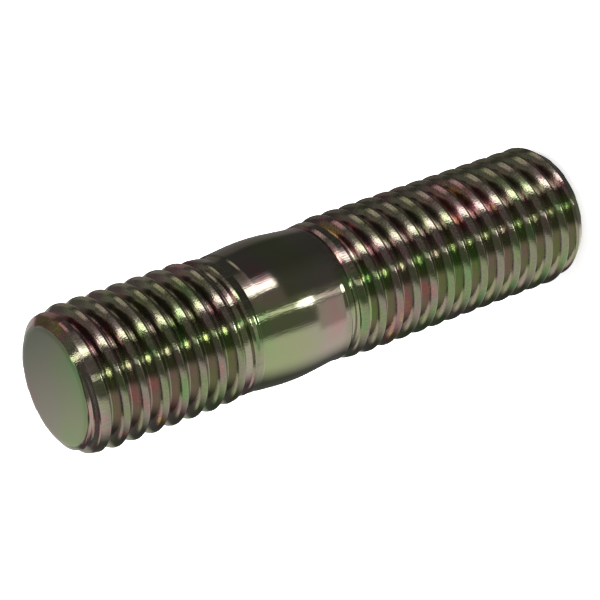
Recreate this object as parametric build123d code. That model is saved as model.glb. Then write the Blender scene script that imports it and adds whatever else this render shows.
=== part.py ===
from build123d import *
import math
import os

# Double ended stud, M12 x 1.75, rolled in one piece from steel.
# It stands on its nut end: +Z runs up the axis and Z = 0 is the nut-end face.
# Lengths and diameters are in millimetres, angles in degrees.

# Thread form, the same at both ends: 60 degree flanks with a flat crest and root.
# The two flats are shares of the pitch, as a thread table gives them.
pitch = 1.75
crest_dia = 11.95
flank_angle = 60.0
crest_flat_share = 0.14
root_flat_share = 0.16

# Lengths along the axis, each counted from its own end face. In a run-out the crest
# falls to the waist beside it, while the root climbs out at its own angle.
overall_length = 48.75
nut_thread_length = 22.05
nut_runout_length = 2.7
nut_root_runout_angle = 14.5
tap_thread_length = 12.8
tap_runout_length = 2.5
tap_root_runout_angle = 12.5

# Shank: a barrel with a plain land in the middle and a waist beside each thread
land_dia = 11.94
land_length = 1.8
nut_waist_dia = 11.3
tap_waist_dia = 11.38
waist_length = 0.4

# Nut-end point: one chamfer. The groove begins behind a plain rim.
nut_point_dia = 10.35
nut_point_length = 1.2
nut_groove_start = 0.45

# Tap-end point: a steep chamfer, a plain lead, then the first turn filling out. The
# groove begins at the end face.
tap_point_dia = 9.4
tap_groove_start = 0.0
tap_chamfer_length = 0.65
tap_lead_dia = 11.2
tap_lead_length = 0.85
tap_fill_length = 0.85
point_edge_break = 0.1

# Angle round the axis at which each groove crosses its own end face's plane
nut_groove_angle = 304.0
tap_groove_angle = 306.5

os.makedirs("parts", exist_ok=True)

crest_radius = crest_dia / 2
half_flank = math.tan(math.radians(flank_angle / 2))
root_flat = root_flat_share * pitch
thread_depth = (1 - crest_flat_share - root_flat_share) * pitch / 2 / half_flank
root_radius = crest_radius - thread_depth

nut_waist_bottom = nut_thread_length + nut_runout_length
nut_waist_top = nut_waist_bottom + waist_length
tap_thread_bottom = overall_length - tap_thread_length
tap_waist_top = tap_thread_bottom - tap_runout_length
tap_waist_bottom = tap_waist_top - waist_length
tap_lead_bottom = overall_length - tap_chamfer_length - tap_lead_length
land_bottom = (nut_waist_top + tap_waist_bottom - land_length) / 2
land_top = land_bottom + land_length


def barrel_side(start, end):
    """Draws a side of the barrel: two arcs that leave start and reach end parallel to the axis."""
    middle = ((start[0] + end[0]) / 2, (start[1] + end[1]) / 2)
    first = TangentArc(start, middle, tangent=(0, 1))
    TangentArc(middle, end, tangent=first % 1)


# The blank is the outline over the crests, turned about the axis
with BuildPart() as blank:
    with BuildSketch(Plane.XZ):
        with BuildLine():
            Polyline(
                (0, 0),
                (nut_point_dia / 2, 0),
                (crest_radius, nut_point_length),
                (crest_radius, nut_thread_length),
                (nut_waist_dia / 2, nut_waist_bottom),
                (nut_waist_dia / 2, nut_waist_top),
            )
            barrel_side((nut_waist_dia / 2, nut_waist_top), (land_dia / 2, land_bottom))
            Line((land_dia / 2, land_bottom), (land_dia / 2, land_top))
            barrel_side((land_dia / 2, land_top), (tap_waist_dia / 2, tap_waist_bottom))
            Polyline(
                (tap_waist_dia / 2, tap_waist_bottom),
                (tap_waist_dia / 2, tap_waist_top),
                (crest_radius, tap_thread_bottom),
                (crest_radius, tap_lead_bottom - tap_fill_length),
                (tap_lead_dia / 2, tap_lead_bottom),
                (tap_lead_dia / 2, overall_length - tap_chamfer_length),
                (tap_point_dia / 2, overall_length),
                (0, overall_length),
                (0, 0),
            )
        make_face()
    revolve(axis=Axis.Z)
    end_faces = blank.faces().filter_by(Axis.Z)
    chamfer(end_faces.edges(), point_edge_break)


def helical_groove(turns):
    """The cutter of one groove: a trapezoid wound up the axis, its middle starting at Z = 0, angle 0."""
    outer_reach = 0.95 * (pitch - root_flat) / 2 / half_flank
    outer_radius = root_radius + outer_reach
    outer_flat = root_flat + 2 * outer_reach * half_flank
    corners = [
        (root_radius, -root_flat / 2),
        (root_radius, root_flat / 2),
        (outer_radius, outer_flat / 2),
        (outer_radius, -outer_flat / 2),
    ]
    walls = []
    for turn in range(turns):
        base = turn * pitch
        rails = [Edge.make_helix(pitch, pitch, r, center=(0, 0, base + z)) for r, z in corners]
        walls += [Face.make_surface_from_curves(rails[i - 1], rails[i]) for i in range(4)]
        if turn == 0:
            walls.append(Face(Wire.make_polygon([rail @ 0 for rail in rails])))
        if turn == turns - 1:
            walls.append(Face(Wire.make_polygon([rail @ 1 for rail in rails])))
    return Solid(Shell(walls))


def keep_core(groove_start, thread_length, root_runout_angle):
    """What a groove leaves standing: a 45 degree step at its start, the core, the run-out cone."""
    keep_radius = crest_radius + pitch
    cone_length = (keep_radius - root_radius) / math.tan(math.radians(root_runout_angle))
    outline = [
        (0, -3 * pitch),
        (keep_radius, -3 * pitch),
        (keep_radius, groove_start + root_radius - keep_radius),
        (root_radius, groove_start),
        (root_radius, thread_length),
        (keep_radius, thread_length + cone_length),
        (keep_radius, 2 * overall_length),
        (0, 2 * overall_length),
    ]
    return revolve(Plane.XZ * make_face(Polyline(*outline, close=True)), axis=Axis.Z)


def thread_cutter(groove_start, thread_length, root_runout_angle, groove_angle):
    """One thread's groove, from its start near Z = 0 to where it fades out past the thread."""
    cone_length = thread_depth / math.tan(math.radians(root_runout_angle))
    turns = math.ceil((thread_length + cone_length) / pitch) + 2
    groove = Pos(0, 0, -pitch) * Rot(0, 0, groove_angle) * helical_groove(turns)
    return groove - keep_core(groove_start, thread_length, root_runout_angle)


# The tap-end groove is made the same way and turned end for end, which keeps its hand
nut_cutter = thread_cutter(
    nut_groove_start, nut_thread_length, nut_root_runout_angle, nut_groove_angle
)
tap_cutter = thread_cutter(
    tap_groove_start, tap_thread_length, tap_root_runout_angle, -tap_groove_angle
)
tap_cutter = Pos(0, 0, overall_length) * Rot(180, 0, 0) * tap_cutter

stud = blank.part - nut_cutter - tap_cutter
export_step(stud, "parts/stud.step")
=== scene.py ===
"""A double ended stud, M12 x 1.75, rolled in one piece from steel and yellow-zinc plated.

It stands on its nut end, with the tap end up and the axis along Z. Lengths are in metres.
"""

import math

import bmesh
import bpy
from mathutils import Matrix, Vector


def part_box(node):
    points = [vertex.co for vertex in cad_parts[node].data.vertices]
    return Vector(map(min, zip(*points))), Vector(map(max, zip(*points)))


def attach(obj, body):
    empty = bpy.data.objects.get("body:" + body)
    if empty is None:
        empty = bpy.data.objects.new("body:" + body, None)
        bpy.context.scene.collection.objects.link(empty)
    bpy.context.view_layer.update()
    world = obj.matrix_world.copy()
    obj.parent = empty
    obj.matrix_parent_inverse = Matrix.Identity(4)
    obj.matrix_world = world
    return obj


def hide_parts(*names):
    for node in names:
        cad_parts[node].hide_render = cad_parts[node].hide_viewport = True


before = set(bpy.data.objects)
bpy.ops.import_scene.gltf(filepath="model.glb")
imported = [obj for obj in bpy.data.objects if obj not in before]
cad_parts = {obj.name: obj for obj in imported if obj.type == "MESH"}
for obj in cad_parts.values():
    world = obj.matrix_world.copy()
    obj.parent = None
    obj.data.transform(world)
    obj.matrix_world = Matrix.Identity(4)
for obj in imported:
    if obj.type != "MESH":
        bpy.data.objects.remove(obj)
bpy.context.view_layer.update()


# ---------------------------------------------------------------------------
# Stud
# One steel rod. Both threads are rolled, so their crests are rounded over and
# the grooves fade out in a cone; the shank between them is left as a barrel.
# The whole form follows one rule: the smaller of the turned outline and the
# thread, in a grid of rows that climb with the helix.
# ---------------------------------------------------------------------------

MM = 0.001
stud_foot, stud_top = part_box("stud")
stud_sizes = {
    "Length": stud_top[2] - stud_foot[2],
    "Pitch": 1.75 * MM,
    "Crest radius": (stud_top[0] - stud_foot[0]) / 2,
    "Thread depth": 1.05 * MM,
    "Crest rounding": 0.62,
    "Crest apex": 0.10,
    "Root flat": 0.05,
    "Nut thread length": 22.05 * MM,
    "Nut run-out length": 2.7 * MM,
    "Nut run-out slope": math.tan(math.radians(14.5)),
    "Nut groove turn": 304.0 / 360,
    "Nut point radius": 5.175 * MM,
    "Nut point length": 1.2 * MM,
    "Nut groove start": 0.45 * MM,
    "Nut waist radius": 5.65 * MM,
    "Tap thread length": 12.8 * MM,
    "Tap run-out length": 2.5 * MM,
    "Tap run-out slope": math.tan(math.radians(12.5)),
    "Tap groove turn": 306.5 / 360,
    "Tap point radius": 4.7 * MM,
    "Tap chamfer length": 0.65 * MM,
    "Tap lead radius": 5.6 * MM,
    "Tap lead length": 1.7 * MM,
    "Tap waist radius": 5.69 * MM,
    "Waist length": 0.4 * MM,
    "Land radius": 5.97 * MM,
    "Land length": 1.8 * MM,
    "Barrel rounding": 0.9 * MM,
    "Rim rounding": 0.30 * MM,
}

# The grid that is bent into the stud, the turns over which its rows shift from one
# thread's start to the other's, and how its ends are closed
COLUMNS = 160
ROWS_PER_TURN = 17
TURNS = 34
TURNS_BELOW = 3
SHIFT_TURNS = 4.0
CLOSING_PACE = 1.6
RIM_DROP = 0.2
POLE_RADIUS = 0.12 * MM
WELD_REACH = 0.0005 * MM


class Field:
    """A number in a node tree, so that a rule can be written as plain arithmetic."""

    def __init__(self, tree, socket):
        self.tree = tree
        self.socket = socket

    def node(self, kind, values):
        """A node of this kind, with the values put into its inputs in order."""
        made = self.tree.nodes.new(kind)
        for slot, value in zip(made.inputs, values):
            if isinstance(value, Field):
                self.tree.links.new(value.socket, slot)
            else:
                slot.default_value = value
        return made

    def math(self, operation, *others):
        made = self.node("ShaderNodeMath", (self, *others))
        made.operation = operation
        return Field(self.tree, made.outputs[0])

    def __add__(self, other):
        return self.math("ADD", other)

    def __sub__(self, other):
        return self.math("SUBTRACT", other)

    def __mul__(self, other):
        return self.math("MULTIPLY", other)

    def __truediv__(self, other):
        return self.math("DIVIDE", other)

    def smaller(self, other):
        return self.math("MINIMUM", other)

    def larger(self, other):
        return self.math("MAXIMUM", other)

    def rest(self):
        """What is left of 1."""
        return self * -1 + 1

    def step(self, start, end, low=0.0, high=1.0, kind="LINEAR"):
        """Goes from low to high as this number goes from start to end, and stays there."""
        made = self.node("ShaderNodeMapRange", (self, start, end, low, high))
        made.interpolation_type = kind
        return Field(self.tree, made.outputs[0])


tree = bpy.data.node_groups.new("Rolled stud", "GeometryNodeTree")
tree.interface.new_socket("Geometry", in_out="OUTPUT", socket_type="NodeSocketGeometry")
for name in stud_sizes:
    tree.interface.new_socket(name, in_out="INPUT", socket_type="NodeSocketFloat")
tree.interface.new_socket("Material", in_out="INPUT", socket_type="NodeSocketMaterial")
sizes_in = tree.nodes.new("NodeGroupInput")
size = {name: Field(tree, sizes_in.outputs[name]) for name in stud_sizes}

# The grid: columns go round the axis, and rows climb one pitch in a turn. Its rows run
# on past both ends of the stud, to close the end faces.
grid = tree.nodes.new("GeometryNodeMeshGrid")
grid.inputs["Vertices X"].default_value = COLUMNS + 1
grid.inputs["Vertices Y"].default_value = ROWS_PER_TURN * TURNS + 1
grid_place = tree.nodes.new("GeometryNodeInputPosition")
grid_axes = tree.nodes.new("ShaderNodeSeparateXYZ")
tree.links.new(grid_place.outputs[0], grid_axes.inputs[0])
turn = Field(tree, grid_axes.outputs["X"]) + 0.5
row = (Field(tree, grid_axes.outputs["Y"]) + 0.5) * TURNS - TURNS_BELOW

# Where the outline's stretches begin and end, counted up from the nut-end face
nut_waist_bottom = size["Nut thread length"] + size["Nut run-out length"]
nut_waist_top = nut_waist_bottom + size["Waist length"]
tap_thread_bottom = size["Length"] - size["Tap thread length"]
tap_waist_top = tap_thread_bottom - size["Tap run-out length"]
tap_waist_bottom = tap_waist_top - size["Waist length"]
shank_middle = (nut_waist_top + tap_waist_bottom) * 0.5
land_bottom = shank_middle - size["Land length"] * 0.5
land_top = land_bottom + size["Land length"]

# The rows follow the nut end's grooves below the shank and the tap end's above it, and
# a row that comes within half a step of an end face is laid on its edge
nut_offset = size["Nut groove turn"].rest()
tap_offset = (size["Length"] / size["Pitch"] - size["Tap groove turn"]).math("FRACT")
shank_turn = nut_waist_top / size["Pitch"]
offset = row.step(shank_turn, shank_turn + SHIFT_TURNS, nut_offset, tap_offset)
climb = (row + turn + offset) * size["Pitch"]
half_row = size["Pitch"] * (0.5 / ROWS_PER_TURN)
past_bottom = (climb - half_row).math("LESS_THAN", 0.0)
past_top = (size["Length"] - climb).math("LESS_THAN", half_row)
height = climb * past_bottom.rest()
height = height + (size["Length"] - height) * past_top

# Thread form, counted as 0 at the middle of a crest and 1 at the middle of a groove: a
# parabola rounds the crest down from a slight apex, and a straight flank meets a flat root
nut_phase = height / size["Pitch"] - turn + size["Nut groove turn"]
tap_phase = (height - size["Length"]) / size["Pitch"] - turn + size["Tap groove turn"]
phase = nut_phase + (tap_phase - nut_phase) * height.math("GREATER_THAN", shank_middle)
from_crest = phase.math("PINGPONG", 0.5) * -2 + 1
over_crest = (size["Crest rounding"] - from_crest).larger(0.0)
round_drop = size["Crest rounding"] * (size["Crest apex"] * -0.5 + 0.5)
drop = from_crest.smaller(size["Root flat"].rest()) - round_drop
drop = drop + over_crest * over_crest * size["Crest apex"].rest() / (size["Crest rounding"] * 2)
flank_slope = size["Thread depth"] / (round_drop.rest() - size["Root flat"])
thread = size["Crest radius"] - drop * flank_slope
root_radius = size["Crest radius"] - size["Thread depth"]

# What the groove leaves standing: a step at the nut end, and a cone at each run-out
nut_runout = root_radius + (height - size["Nut thread length"]).larger(0.0) * size["Nut run-out slope"]
tap_runout = root_radius + (tap_thread_bottom - height).larger(0.0) * size["Tap run-out slope"]
nut_step = root_radius + (size["Nut groove start"] - height)
core = nut_runout.smaller(tap_runout).larger(nut_step)


def barrel_side(past):
    """How far down the barrel's side a point is; the side starts in a soft curve."""
    curve = past.larger(0.0).smaller(size["Barrel rounding"] * 2)
    return past.larger(0.0) - curve + curve * curve / (size["Barrel rounding"] * 4)


# The outline over the crests: nut point, run-out, shank barrel, run-out, lead and chamfer
crest = size["Crest radius"]
land = size["Land radius"]
nut_waist = size["Nut waist radius"]
tap_waist = size["Tap waist radius"]
nut_point = height.step(0.0, size["Nut point length"], size["Nut point radius"], crest)
nut_fall = height.step(size["Nut thread length"], nut_waist_bottom, crest, nut_waist)
nut_side = barrel_side(land_bottom + size["Barrel rounding"] - height)
tap_side = barrel_side(height + size["Barrel rounding"] - land_top)
nut_rise = land - nut_side * (land - nut_waist) / (land_bottom - nut_waist_top)
tap_fall = land - tap_side * (land - tap_waist) / (tap_waist_bottom - land_top)
tap_fall = tap_fall.larger(tap_waist)
tap_rise = height.step(tap_waist_top, tap_thread_bottom, tap_waist, crest)
past_waist = height.math("GREATER_THAN", (tap_waist_bottom + tap_waist_top) * 0.5)
tap_outline = tap_fall + (tap_rise - tap_fall) * past_waist
outline = nut_point.smaller(nut_fall.larger(nut_rise)).smaller(tap_outline)
below_tap = size["Length"] - height
lead_start = size["Tap chamfer length"]
chamfer = below_tap.step(0.0, lead_start, size["Tap point radius"], size["Tap lead radius"])
lead_end = lead_start + size["Tap lead length"]
lead = below_tap.step(lead_start, lead_end, 0.0, crest - size["Tap lead radius"])
outline = outline.smaller(chamfer + lead)
radius = outline.smaller(thread.larger(core))

# Past an end, the rows close the end face towards the axis, and the first of them round
# its rim. Rows that come near the axis are drawn together into one point.
beyond = (climb * -1).larger(climb - size["Length"]).larger(0.0)
inward = beyond * CLOSING_PACE
radius = (radius - inward).larger(0.0)
rim = (inward / size["Rim rounding"]).smaller(1.0).rest()
height = height + rim * rim * (past_bottom - past_top) * size["Rim rounding"] * RIM_DROP
radius = radius * radius.math("GREATER_THAN", POLE_RADIUS)

angle = turn * math.tau
place = tree.nodes.new("ShaderNodeCombineXYZ")
for axis, value in zip("XYZ", (radius * angle.math("COSINE"), radius * angle.math("SINE"), height)):
    tree.links.new(value.socket, place.inputs[axis])
bend = tree.nodes.new("GeometryNodeSetPosition")
tree.links.new(grid.outputs["Mesh"], bend.inputs["Geometry"])
tree.links.new(place.outputs[0], bend.inputs["Position"])
weld = tree.nodes.new("GeometryNodeMergeByDistance")
weld.inputs["Distance"].default_value = WELD_REACH
tree.links.new(bend.outputs[0], weld.inputs["Geometry"])
smooth = tree.nodes.new("GeometryNodeSetShadeSmooth")
tree.links.new(weld.outputs[0], smooth.inputs["Geometry"])
realize = tree.nodes.new("GeometryNodeRealizeInstances")
tree.links.new(smooth.outputs[0], realize.inputs[0])
paint = tree.nodes.new("GeometryNodeSetMaterial")
tree.links.new(realize.outputs[0], paint.inputs["Geometry"])
tree.links.new(sizes_in.outputs["Material"], paint.inputs["Material"])
tree_out = tree.nodes.new("NodeGroupOutput")
tree.links.new(paint.outputs[0], tree_out.inputs[0])

# Yellow zinc, gone dark and olive: a mirror-like film whose colour drifts with its
# thickness, scuffed dull on the crests, with fine scratches along the stud
plating = bpy.data.materials.new("Yellow zinc plating")
plating.use_nodes = True
skin = plating.node_tree
shader = skin.nodes["Principled BSDF"]
spot = skin.nodes.new("ShaderNodeTexCoord").outputs["Object"]


def noise(scale, detail, seed):
    """Smooth noise from 0 to 1; the scale along each axis is in steps to the millimetre."""
    spread = skin.nodes.new("ShaderNodeMapping")
    spread.inputs["Scale"].default_value = [steps / MM for steps in scale]
    spread.inputs["Location"].default_value = (seed, seed * 0.7, seed * 0.3)
    skin.links.new(spot, spread.inputs["Vector"])
    grain = skin.nodes.new("ShaderNodeTexNoise")
    grain.inputs["Scale"].default_value = 1.0
    grain.inputs["Detail"].default_value = detail
    skin.links.new(spread.outputs[0], grain.inputs["Vector"])
    return Field(skin, grain.outputs["Fac"])


drift = noise((0.20, 0.20, 0.28), 1.0, 3.1) - 0.5
turn_to_turn = noise((0.40, 0.40, 1.1), 1.0, 7.7) - 0.5
streaks = noise((9.0, 9.0, 0.35), 2.0, 5.9) - 0.5
patches = noise((0.5, 0.5, 0.4), 2.0, 11.3)

# The places that the film follows, counted up from the nut-end face or off the axis
stud_length = stud_sizes["Length"]
chamfer_foot = stud_length - stud_sizes["Tap chamfer length"]
lead_foot = chamfer_foot - stud_sizes["Tap lead length"]
tap_thread_foot = stud_length - stud_sizes["Tap thread length"]
shank_head = tap_thread_foot - stud_sizes["Tap run-out length"] - stud_sizes["Waist length"]
nut_thread_head = stud_sizes["Nut thread length"]
shank_foot = nut_thread_head + stud_sizes["Nut run-out length"] + stud_sizes["Waist length"]
shank_reach = (shank_head - shank_foot) / 2
crest_reach = stud_sizes["Crest radius"]
root_reach = crest_reach - stud_sizes["Thread depth"]

# Where on the stud a point lies. The upper side is the one towards +X: the camera sees
# the stud lying down, with that side uppermost.
spot_axes = skin.nodes.new("ShaderNodeSeparateXYZ")
skin.links.new(spot, spot_axes.inputs[0])
across = Field(skin, spot_axes.outputs["X"])
outward = Field(skin, spot_axes.outputs["Y"])
up = Field(skin, spot_axes.outputs["Z"])
from_axis = (across * across + outward * outward).math("SQRT")
from_shank = up - (shank_foot + shank_reach)
on_face = up.step(stud_length - 0.15 * MM, stud_length - 0.05 * MM)
off_middle = from_shank.math("ABSOLUTE")
on_shank = off_middle.step(shank_reach - 0.35 * MM, shank_reach + 0.65 * MM, 1.0, 0.0)
on_thread = on_shank.rest() * on_face.rest()
below_chamfer = up.step(chamfer_foot - 0.1 * MM, chamfer_foot + 0.1 * MM, 1.0, 0.0)
on_crest = from_axis.step(crest_reach - 0.475 * MM, crest_reach - 0.175 * MM) * below_chamfer
in_groove = on_crest.rest()
upper_side = across.step(0.2 * MM, 1.2 * MM)

# The film's thickness, from 0 to 1. Along the shank it thins towards the tap end, apart
# from the upper side there.
shank_patch = across.step(0.3 * MM, 2.2 * MM, 0.0, 0.2) * from_shank.step(0.9 * MM, 2.4 * MM)
shank_film = from_shank * (-0.030 / MM) - 0.02 + shank_patch

# The grooves' film is thinnest where they turn from the lower side to the front
groove_film = across.step(-2.4 * MM, -1.2 * MM, 0.08, -0.04) + upper_side * 0.14

# A thick patch beside the nut end's run-out, and a thicker lead at the tap end
runout_film = up.step(nut_thread_head + 0.55 * MM, nut_thread_head + 1.55 * MM)
runout_film = runout_film * up.step(shank_foot - 0.15 * MM, shank_foot + 0.35 * MM, 1.0, 0.0)
runout_film = runout_film * across.step(0.5 * MM, 1.5 * MM, 0.0, 0.26)
runout_film = runout_film * across.step(2.4 * MM, 3.4 * MM, 1.0, 0.0)
lead_film = up.step(lead_foot + 0.2 * MM, lead_foot + 0.6 * MM, 0.0, 0.12) * upper_side.rest()

# It differs from turn to turn and along each streak, less so towards the upper side
side_film = across.step(1.5 * MM, 4.5 * MM, -0.03, 0.06)
tint = across.step(1.5 * MM, 4.5 * MM, 0.75, 0.3)
mottle = (turn_to_turn * (on_crest * 0.45 + 0.65) + streaks * 0.45) * tint
thread_film = groove_film * in_groove + runout_film + lead_film + side_film + mottle
face_film = outward * (0.16 / (5 * MM)) - 0.02
film = drift * (on_thread * 0.15 + on_face * 0.1 + 0.4) + 0.5
film = film + shank_film * on_shank + thread_film * on_thread + face_film * on_face
colours = skin.nodes.new("ShaderNodeValToRGB")
skin.links.new(film.socket, colours.inputs[0])
stops = [
    (0.18, (0.48, 0.40, 0.14)),
    (0.27, (0.23, 0.41, 0.20)),
    (0.36, (0.29, 0.37, 0.19)),
    (0.45, (0.335, 0.35, 0.215)),
    (0.54, (0.35, 0.33, 0.26)),
    (0.63, (0.38, 0.31, 0.28)),
    (0.71, (0.46, 0.25, 0.27)),
    (0.80, (0.50, 0.38, 0.16)),
]
colours.color_ramp.interpolation = "EASE"
ramp = colours.color_ramp.elements
for at, colour in stops:
    stop = ramp.new(at)
    stop.color = (*colour, 1)
ramp.remove(ramp[0])
ramp.remove(ramp[-1])

# How bright it is, where 1 is the film's full brightness: scuffed crests, painted shade in
# the grooves and roots and on the shank's upper side, a painted highlight on the tap end's
# top edge, and a dull end face with painted shade towards its upper side
scuffs = streaks * (upper_side * 0.8 + 0.4)
# Painted shade darkens the grooves on the upper side; the crests are dulled by scuffs
thread_wear_and_shade = on_crest * -0.30 + in_groove * upper_side * -0.30 + scuffs
# Painted shade darkens the thread roots, except on the chamfer
painted_root_shade = from_axis.step(root_reach + 0.025 * MM, root_reach + 0.125 * MM, 0.4, 0.0)
painted_root_shade = painted_root_shade * up.step(chamfer_foot - 0.3 * MM, chamfer_foot - 0.1 * MM, 1.0, 0.0)
# Painted shade darkens the shank towards its upper side
painted_shank_shade = across.step(1.5 * MM, 3.0 * MM, 0.0, 0.32) + across.step(4.6 * MM, 5.4 * MM, 0.0, 0.25)
# A painted highlight lightens the top edge of the tap thread
above_shank = up.step(shank_head + 0.95 * MM, tap_thread_foot + 0.05 * MM)
painted_top_highlight = across.step(4.4 * MM, 5.4 * MM, 0.0, 0.6) * above_shank
# The end face is dulled all over, with painted shade growing towards its upper side
face_dulling_and_shade = across * (-0.065 / MM) - 0.45
# The base colour is scaled by wear and by the painted shade and highlight above
wear_and_painted_light = thread_wear_and_shade * on_thread - painted_root_shade - painted_shank_shade * on_shank
wear_and_painted_light = wear_and_painted_light + painted_top_highlight * on_thread + face_dulling_and_shade * on_face + 1
worn_and_painted = skin.nodes.new("ShaderNodeVectorMath")
worn_and_painted.operation = "SCALE"
skin.links.new(colours.outputs[0], worn_and_painted.inputs[0])
skin.links.new(wear_and_painted_light.socket, worn_and_painted.inputs["Scale"])
skin.links.new(worn_and_painted.outputs[0], shader.inputs["Base Color"])
shader.inputs["Metallic"].default_value = 1.0
rough = patches.step(0.35, 0.65, 0.07, 0.12)
skin.links.new(rough.socket, shader.inputs["Roughness"])
bump = skin.nodes.new("ShaderNodeBump")
bump.inputs["Strength"].default_value = 1.0
bump.inputs["Distance"].default_value = 0.006 * MM
skin.links.new((streaks * on_face.rest()).socket, bump.inputs["Height"])
skin.links.new(bump.outputs[0], shader.inputs["Normal"])

stud = bpy.data.objects.new("Stud", bpy.data.meshes.new("Stud blank"))
bpy.context.scene.collection.objects.link(stud)
rolling = stud.modifiers.new("Rolling", "NODES")
rolling.node_group = tree
for item in tree.interface.items_tree:
    if item.in_out == "INPUT":
        rolling[item.identifier] = plating if item.name == "Material" else stud_sizes[item.name]
bpy.context.view_layer.update()
finished = stud.evaluated_get(bpy.context.evaluated_depsgraph_get())
stud_mesh = bpy.data.meshes.new_from_object(finished)
stud.modifiers.remove(rolling)
stud.data = stud_mesh
stud_mesh.name = "Stud"
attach(stud, "root")
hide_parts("stud")


# ---------------------------------------------------------------------------
# Floor
# A plain pale table top under the stud. It is lifted to white for the camera,
# and keeps the stud's shadow. The plating does not mirror it: the tent does that.
# ---------------------------------------------------------------------------

floor_mesh = bpy.data.meshes.new("Floor")
reach = 3.0
corners = [(-reach, -reach, 0), (reach, -reach, 0), (reach, reach, 0), (-reach, reach, 0)]
floor_mesh.from_pydata(corners, [], [(0, 1, 2, 3)])
floor = bpy.data.objects.new("Floor", floor_mesh)
bpy.context.scene.collection.objects.link(floor)
floor.visible_glossy = False
floor_paint = bpy.data.materials.new("Pale floor")
floor_paint.use_nodes = True
floor_mesh.materials.append(floor_paint)
nodes = floor_paint.node_tree.nodes
links = floor_paint.node_tree.links
nodes.clear()
rays = nodes.new("ShaderNodeLightPath")
lit = nodes.new("ShaderNodeBsdfDiffuse")
lit.inputs["Color"].default_value = (0.85, 0.85, 0.85, 1)
lift = nodes.new("ShaderNodeEmission")
lift.inputs["Strength"].default_value = 0.65
seen = nodes.new("ShaderNodeAddShader")
links.new(lit.outputs[0], seen.inputs[0])
links.new(lift.outputs[0], seen.inputs[1])
choice = nodes.new("ShaderNodeMixShader")
links.new(rays.outputs["Is Camera Ray"], choice.inputs[0])
links.new(lit.outputs[0], choice.inputs[1])
links.new(seen.outputs[0], choice.inputs[2])
floor_out = nodes.new("ShaderNodeOutputMaterial")
links.new(choice.outputs[0], floor_out.inputs[0])


# ---------------------------------------------------------------------------
# Light tent
# A shell of pale and dark panels round the stud, seen in its reflections alone.
# Each panel is placed by the way a surface must face to mirror it to the camera:
# degrees round the axis, then degrees of tilt up from level.
# ---------------------------------------------------------------------------

# Later panels lie over earlier ones. The far side glows are for views from behind.
camera_rise = math.radians(30.4535)
tent_colour = (0.10, 0.10, 0.095)
panels = [
    # name, (round from, to, softness at each), (tilt from, to, softness at each), colour
    ("Line glow", (250, 273, 3, 2), (-95, 50, 1, 3), (0.17, 0.18, 0.14)),
    ("Pale table", (211, 247.5, 12, 4), (-95, 50, 1, 3), (0.92, 0.93, 0.84)),
    ("Pale table rise", (240, 262, 3, 2), (-9, -3.6, 0.6, 1.2), (0.6, 0.55, 0.5)),
    ("Pale table end", (196, 222, 5, 3), (50, 58, 3, 3), (0.9, 0.85, 0.75)),
    ("Far side glow right", (366, 470, 4, 4), (-40, 64, 8, 6), (0.55, 0.54, 0.50)),
    ("Far side glow left", (70, 174, 4, 4), (-40, 64, 8, 6), (0.55, 0.54, 0.50)),
    ("End glow", (-400, 800, 1, 1), (66, 100, 5, 3), (0.72, 0.76, 0.68)),
    ("Mid glow", (271, 284, 1.5, 1.5), (4.0, 56, 0.7, 3), (0.22, 0.18, 0.19)),
    ("Right glow", (284, 307, 1, 4), (12, 50, 3, 4), (0.36, 0.33, 0.31)),
    ("Softbox glow", (285, 297, 1, 3), (5.2, 50, 0.6, 3), (0.95, 0.86, 0.90)),
    ("Top glow", (311, 324, 3, 3), (19, 50, 3, 4), (0.9, 0.79, 0.72)),
    ("Chamfer glow", (291, 335, 4, 8), (50, 66, 3, 5), (0.22, 0.24, 0.19)),
    ("Edge glow", (334, 356, 3, 3), (-20, 48, 6, 4), (0.25, 0.23, 0.21)),
    ("Softbox", (285.5, 292.6, 0.6, 1.0), (5.2, 50, 0.6, 2), (4.8, 4.5, 4.5)),
    ("Chamfer lamp", (286, 290, 0.8, 0.8), (51.5, 74, 1, 2), (5.0, 4.9, 4.4)),
    ("Strip", (264.3, 267.0, 1.2, 1.2), (-8, 45, 1, 5), (1.6, 1.65, 1.45)),
    ("Groove lamp", (263.8, 267.8, 0.6, 0.6), (-3.0, -0.2, 0.5, 0.5), (14.0, 14.0, 14.0)),
    ("Lamp", (264.8, 266.2, 0.3, 0.3), (-1.2, 1.8, 0.5, 0.5), (20.0, 20.0, 20.0)),
]

tent_mesh = bpy.data.meshes.new("Light tent")
shell = bmesh.new()
bmesh.ops.create_icosphere(shell, subdivisions=4, radius=2.0)
shell.to_mesh(tent_mesh)
shell.free()
tent = bpy.data.objects.new("Light tent", tent_mesh)
bpy.context.scene.collection.objects.link(tent)
tent.visible_camera = False
tent.visible_diffuse = False
tent.visible_transmission = False
tent.visible_volume_scatter = False
tent.visible_shadow = False
tent_paint = bpy.data.materials.new("Tent panels")
tent_paint.use_nodes = True
tent_mesh.materials.append(tent_paint)
cloth = tent_paint.node_tree
cloth.nodes.clear()
outwards = cloth.nodes.new("ShaderNodeVectorMath")
outwards.operation = "NORMALIZE"
cloth.links.new(cloth.nodes.new("ShaderNodeTexCoord").outputs["Object"], outwards.inputs[0])
halfway = cloth.nodes.new("ShaderNodeVectorMath")
cloth.links.new(outwards.outputs[0], halfway.inputs[0])
halfway.inputs[1].default_value = (0, -math.cos(camera_rise), math.sin(camera_rise))
facing = cloth.nodes.new("ShaderNodeVectorMath")
facing.operation = "NORMALIZE"
cloth.links.new(halfway.outputs[0], facing.inputs[0])
facing_axes = cloth.nodes.new("ShaderNodeSeparateXYZ")
cloth.links.new(facing.outputs[0], facing_axes.inputs[0])
x, y, z = (Field(cloth, facing_axes.outputs[axis]) for axis in "XYZ")
round_axis = (y.math("ARCTAN2", x) * (180 / math.pi)).math("WRAP", 450, 90)
tilt = z.math("ARCSINE") * (180 / math.pi)

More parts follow.
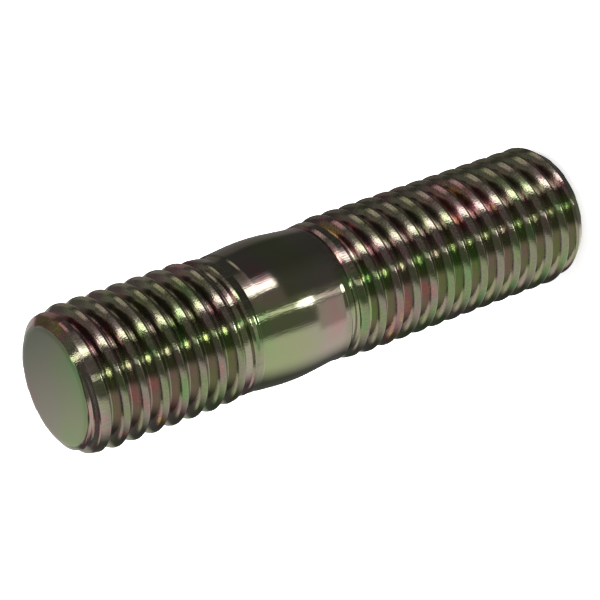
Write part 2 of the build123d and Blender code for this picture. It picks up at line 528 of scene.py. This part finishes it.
glow = cloth.nodes.new("ShaderNodeEmission")
painted = None
for name, (start, end, soft_start, soft_end), (low, high, soft_low, soft_high), colour in panels:
    cover = round_axis.step(start - soft_start, start + soft_start, kind="SMOOTHSTEP")
    cover = cover * round_axis.step(end - soft_end, end + soft_end, 1.0, 0.0, "SMOOTHSTEP")
    cover = cover * tilt.step(low - soft_low, low + soft_low, kind="SMOOTHSTEP")
    cover = cover * tilt.step(high - soft_high, high + soft_high, 1.0, 0.0, "SMOOTHSTEP")
    panel = cloth.nodes.new("ShaderNodeMix")
    panel.name = name
    panel.data_type = "RGBA"
    cloth.links.new(cover.socket, panel.inputs["Factor"])
    if painted:
        cloth.links.new(painted, panel.inputs["A"])
    else:
        panel.inputs["A"].default_value = (*tent_colour, 1)
    panel.inputs["B"].default_value = (*colour, 1)
    painted = panel.outputs["Result"]
cloth.links.new(painted, glow.inputs["Color"])
tent_out = cloth.nodes.new("ShaderNodeOutputMaterial")
cloth.links.new(glow.outputs[0], tent_out.inputs[0])


# ---------------------------------------------------------------------------
# Lamps and camera
# One overhead softbox and a pale world light the floor. The camera looks down
# on the tap end, and is turned on its side so that the stud lies across.
# ---------------------------------------------------------------------------

world = bpy.data.worlds.new("Studio")
bpy.context.scene.world = world
world.use_nodes = True
world.node_tree.nodes["Background"].inputs["Color"].default_value = (1, 1, 1, 1)
world.node_tree.nodes["Background"].inputs["Strength"].default_value = 0.6

towards = Vector((0.29, 0.07, 0.955)).normalized()
softbox = bpy.data.lights.new("Overhead softbox", "AREA")
softbox.shape = "RECTANGLE"
softbox.size = 0.10
softbox.size_y = 0.30
softbox.energy = 4.0
overhead = bpy.data.objects.new("Overhead softbox", softbox)
overhead.location = Vector((0, 0, stud_sizes["Length"] / 2)) + towards * 0.5
overhead.rotation_euler = towards.to_track_quat("Z", "Y").to_euler()
overhead.visible_glossy = False
bpy.context.scene.collection.objects.link(overhead)

camera = bpy.data.objects.new("Camera", bpy.data.cameras.new("Camera"))
camera.data.lens = 147.33
camera.data.clip_start = 0.01
camera.data.clip_end = 20
camera_roll = math.radians(-109.894)
camera_distance = 198.034 * MM
aim = Matrix.Translation(Vector((-0.137, 0, 25.719)) * MM)
turned = Matrix.Rotation(math.pi / 2 - camera_rise, 4, "X") @ Matrix.Rotation(camera_roll, 4, "Z")
camera.matrix_world = aim @ turned @ Matrix.Translation((0, 0, camera_distance))
bpy.context.scene.collection.objects.link(camera)
bpy.context.scene.camera = camera
bpy.context.scene.view_settings.view_transform = "Standard"
